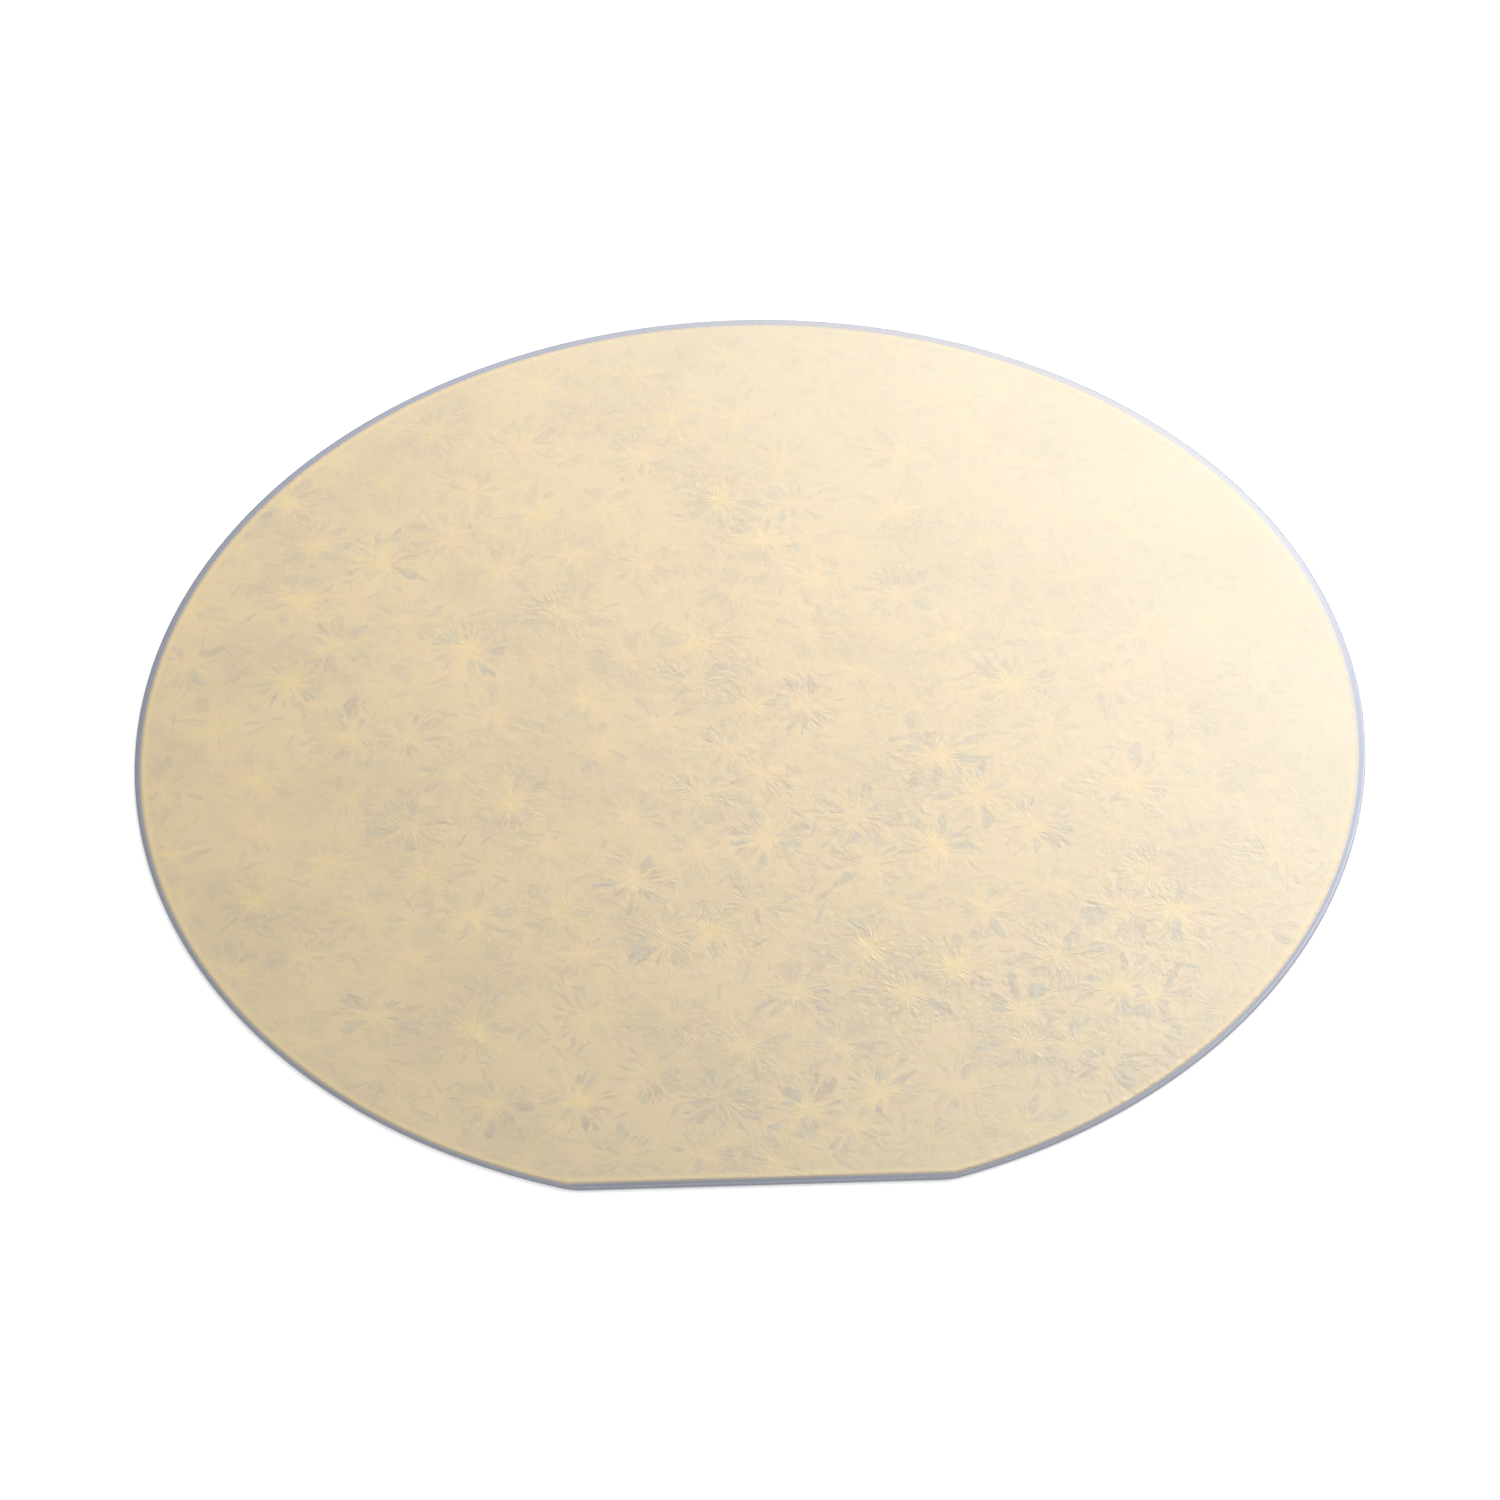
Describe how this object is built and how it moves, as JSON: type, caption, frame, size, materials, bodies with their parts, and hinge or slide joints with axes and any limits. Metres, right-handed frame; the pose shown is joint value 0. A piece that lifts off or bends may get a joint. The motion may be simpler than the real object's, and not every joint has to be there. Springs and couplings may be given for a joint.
{
  "type": "silicon wafer",
  "caption": "Round silicon disc with a straight flat on its rim, a bevelled and rounded ground edge, and a pale crystalline film over its front face.",
  "frame": {"origin": "centre of the round disc, on its back face", "axes": "+Z out of the front face, which carries the film; -Y towards the flat; +X to the right when the flat is nearest"},
  "size_m": [0.2, 0.1958, 0.0007],
  "materials": {
    "silicon": "polished",
    "film": "satin"
  },
  "bodies": {
    "root": {"silicon_wafer": "silicon", "deposited_film": "film"}
  },
  "joints": []
}
